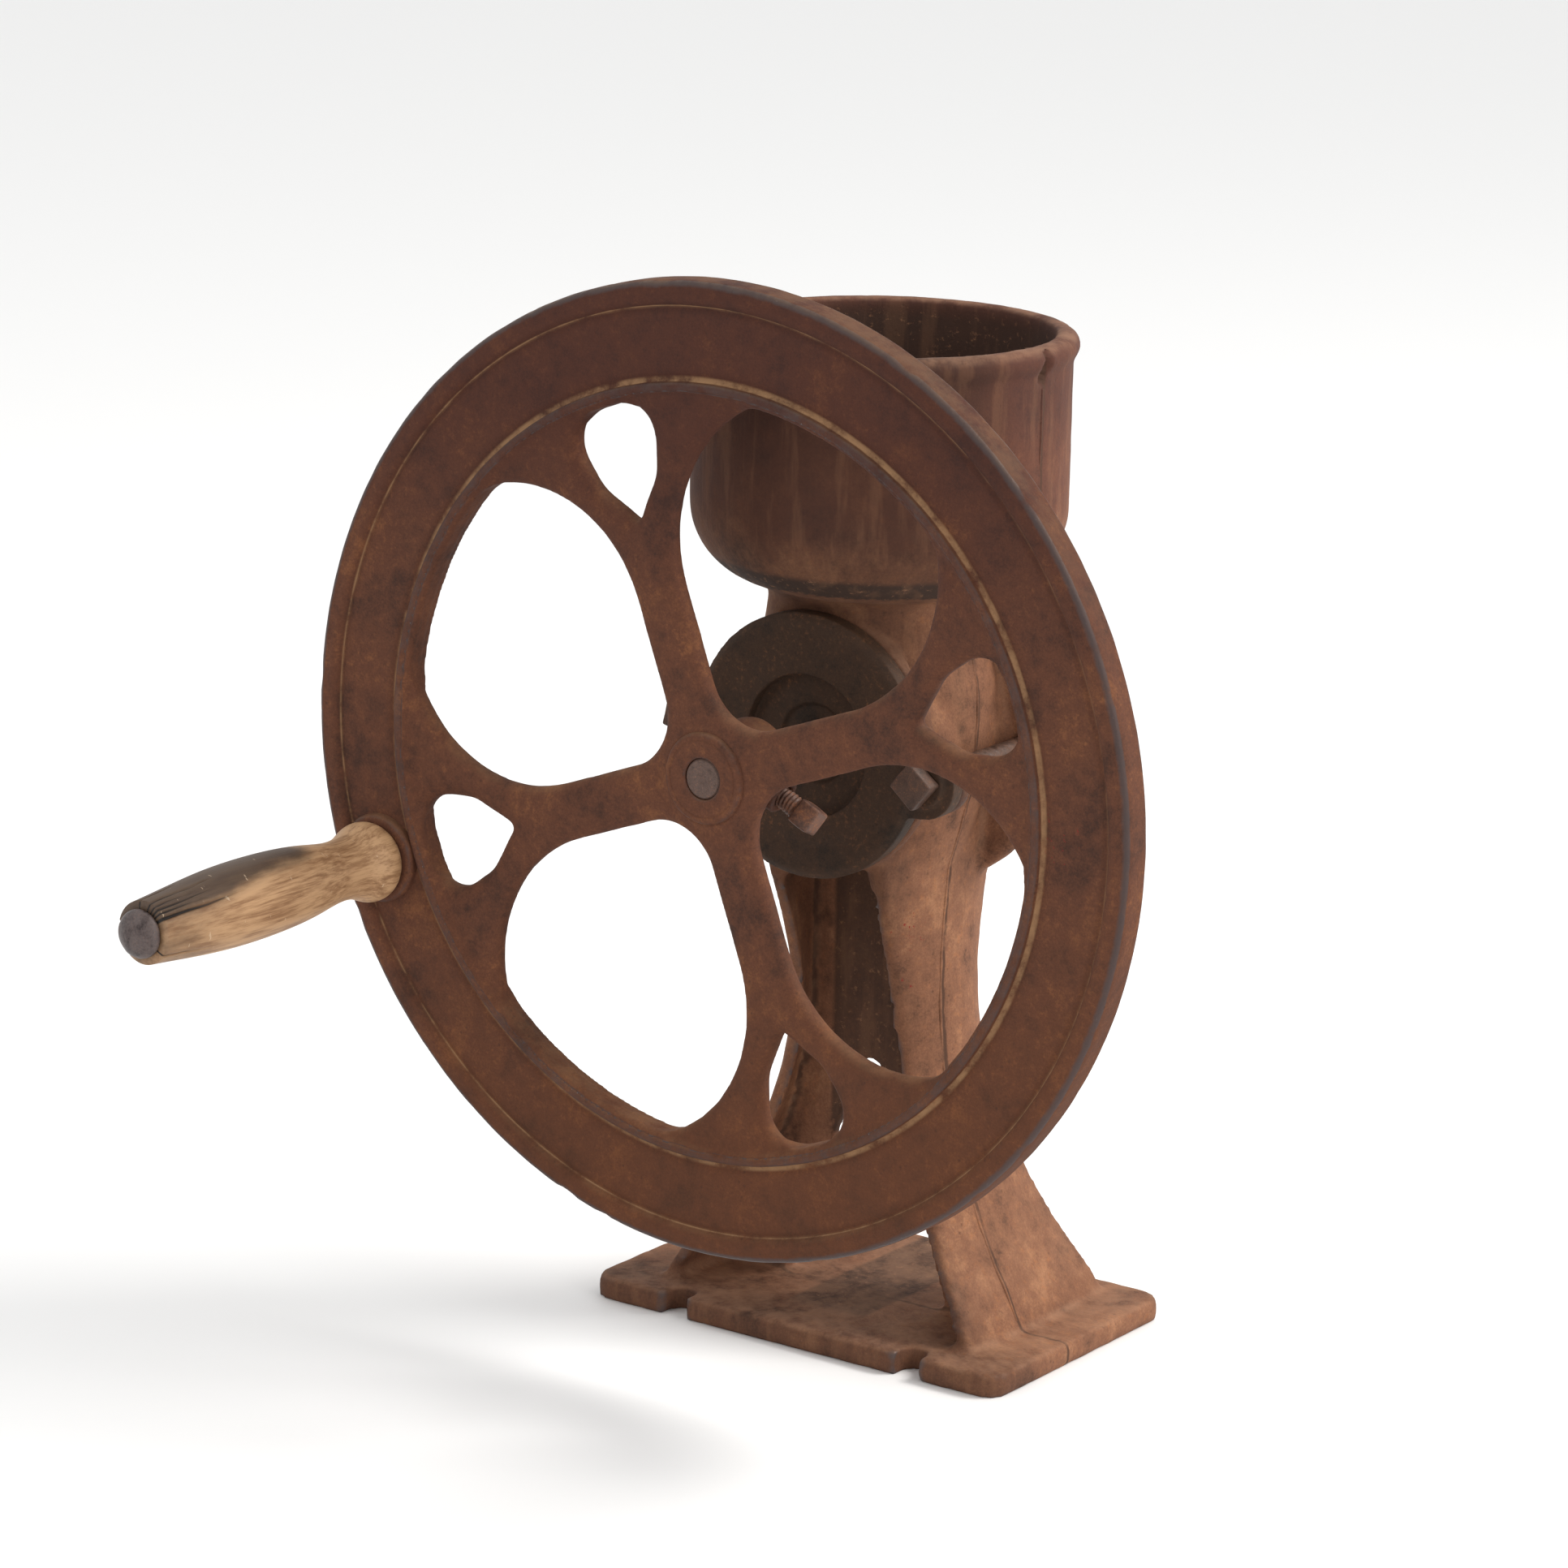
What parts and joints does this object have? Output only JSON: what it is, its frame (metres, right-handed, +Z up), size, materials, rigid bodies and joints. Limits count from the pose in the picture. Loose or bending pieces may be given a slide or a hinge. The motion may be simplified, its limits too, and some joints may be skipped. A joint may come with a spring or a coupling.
{
  "type": "hand-cranked crushing mill",
  "caption": "Cast-iron hand mill: a round hopper feeds a worm and toothed crushing plates, turned by a tall flywheel with a wooden crank handle, and emptying between its legs.",
  "frame": {"origin": "centre of the base plate's underside", "axes": "+Z up, +Y along the shaft from the flywheel towards the back, +X along the base plate's long edge"},
  "size_m": [0.482, 0.4535, 0.5535],
  "materials": {
    "rusty_casting": "matte rusty cast iron, lighter brown where it is lit, remains of red paint",
    "wheel_casting": "matte reddish brown rust with dark worn edges",
    "dark_casting": "dark brown greasy rust",
    "rusty_steel": "rusted wrought steel",
    "worn_steel": "dark polished by use, light rust",
    "white_iron": "hard cast iron, dull",
    "worn_wood": "old hardwood polished by hands, dark stains and drying cracks"
  },
  "bodies": {
    "frame": {"frame_casting": "rusty_casting", "front_plate": "dark_casting", "tie_bolt_right": "rusty_steel", "tie_nut_right": "rusty_steel", "tie_bolt_left": "rusty_steel", "tie_nut_left": "rusty_steel", "fixed_burr": "white_iron", "fixed_burr_screws": "rusty_steel", "lock_nut": "rusty_steel"},
    "thrust_button": {"thrust_button": "worn_steel"},
    "regulating_screw": {"regulating_screw": "rusty_steel"},
    "rotor": {"flywheel": "wheel_casting", "hub_set_screw": "rusty_steel", "main_shaft": "worn_steel", "drive_key": "worn_steel", "feed_worm": "white_iron", "running_burr": "white_iron", "handle_spindle": "worn_steel", "spindle_washer": "rusty_steel", "spindle_nut": "rusty_steel"},
    "crank_handle": {"crank_handle": "worn_wood"}
  },
  "joints": [
    {"name": "grind_set", "type": "slide", "parent": "frame", "child": "thrust_button", "axis": [0, 1, 0], "range_m": [-0.0015, 0.003]},
    {"name": "regulating_screw_turn", "type": "hinge", "parent": "thrust_button", "child": "regulating_screw", "pos_m": [0, 0.06, 0.3125], "axis": [0, 1, 0], "range_deg": [-270, 540]},
    {"name": "flywheel_spin", "type": "hinge", "parent": "thrust_button", "child": "rotor", "pos_m": [0, 0, 0.3125], "axis": [0, 1, 0], "continuous": true},
    {"name": "handle_spin", "type": "hinge", "parent": "rotor", "child": "crank_handle", "pos_m": [-0.20178, -0.25, 0.23826], "axis": [0, 1, 0], "continuous": true}
  ],
  "couplings": [
    {"joint": "regulating_screw_turn", "follows": "grind_set", "rad_per_m": 3141.6}
  ]
}
